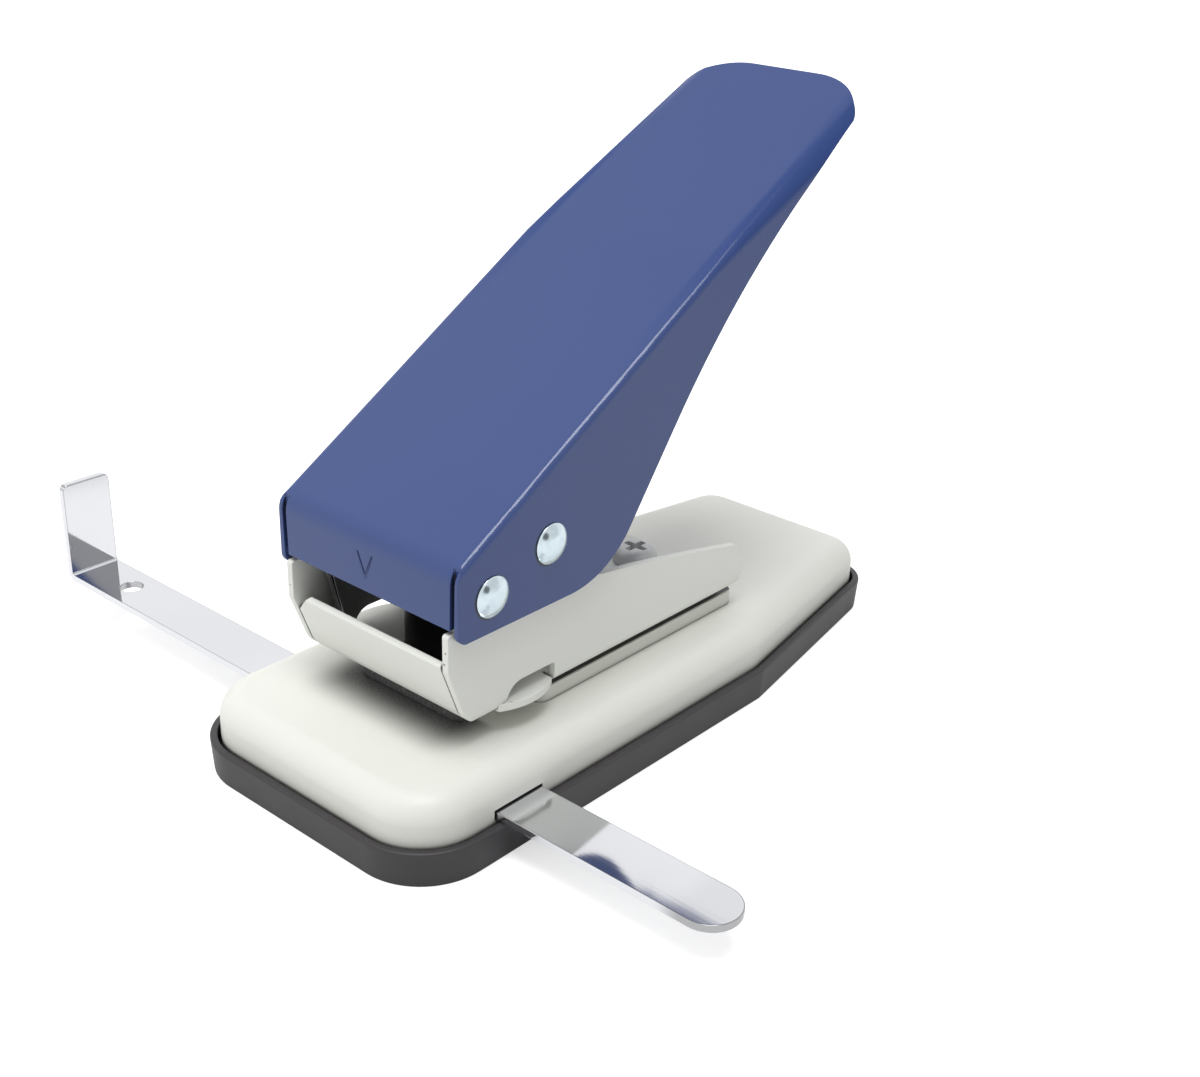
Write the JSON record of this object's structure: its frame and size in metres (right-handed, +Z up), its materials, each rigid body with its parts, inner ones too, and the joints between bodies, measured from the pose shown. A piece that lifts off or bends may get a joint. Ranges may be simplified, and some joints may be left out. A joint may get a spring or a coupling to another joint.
{
  "type": "thumb notch punch",
  "caption": "Desk punch with a long sloping hand lever that cuts a half-moon thumb notch in a card's edge, on a low base with a sliding side guide",
  "frame": {"origin": "on the underside of the base tray, in the middle of its width, below the front edges of the frame's cheeks", "axes": "X across the punch to the right seen from the card side, Y from the card side to the back, Z up"},
  "size_m": [0.1836, 0.1525, 0.1206],
  "materials": {
    "black_tray": "matte moulded plastic",
    "warm_grey_paint": "fine satin paint on sheet steel",
    "blue_paint": "satin paint on sheet steel",
    "plain_steel": "ground steel",
    "zinc_steel": "bright zinc plate",
    "dark_wire": "oiled spring wire",
    "black_steel": "blackened steel with a ground cutting edge",
    "bright_plate": "bright nickel or chromium plate"
  },
  "bodies": {
    "base": {"base_tray": "black_tray", "base_shell": "warm_grey_paint", "die_plate": "warm_grey_paint", "throat_spacer": "plain_steel", "frame": "warm_grey_paint", "punch_guide": "plain_steel", "frame_screws": "zinc_steel", "frame_washers": "zinc_steel", "frame_nuts": "zinc_steel", "pivot_washers": "black_tray", "spring_spacer": "black_tray", "return_spring_left": "dark_wire", "return_spring_right": "dark_wire", "bar_strap_left": "plain_steel", "bar_strap_right": "plain_steel", "bar_leaf_spring": "plain_steel"},
    "lever": {"lever": "blue_paint", "pivot_pin": "zinc_steel", "drive_pin": "zinc_steel"},
    "punch": {"punch": "black_steel"},
    "guide_bar": {"guide_bar": "bright_plate"}
  },
  "joints": [
    {"name": "lever_press", "type": "hinge", "parent": "base", "child": "lever", "pos_m": [0, 0.00865, 0.046], "axis": [-1, 0, 0], "range_deg": [0, 30], "stiffness_Nm_per_rad": 0.6, "springref_deg": -34.38, "deforming": ["return_spring_left", "return_spring_right"]},
    {"name": "punch_slide", "type": "slide", "parent": "base", "child": "punch", "axis": [0, 0, -1], "range_m": [0, 0.00808]},
    {"name": "guide_bar_slide", "type": "slide", "parent": "base", "child": "guide_bar", "axis": [1, 0, 0], "range_m": [-0.045, 0.066]}
  ],
  "couplings": [
    {"joint": "punch_slide", "follows": "lever_press", "m_per_rad": 0.015416}
  ]
}
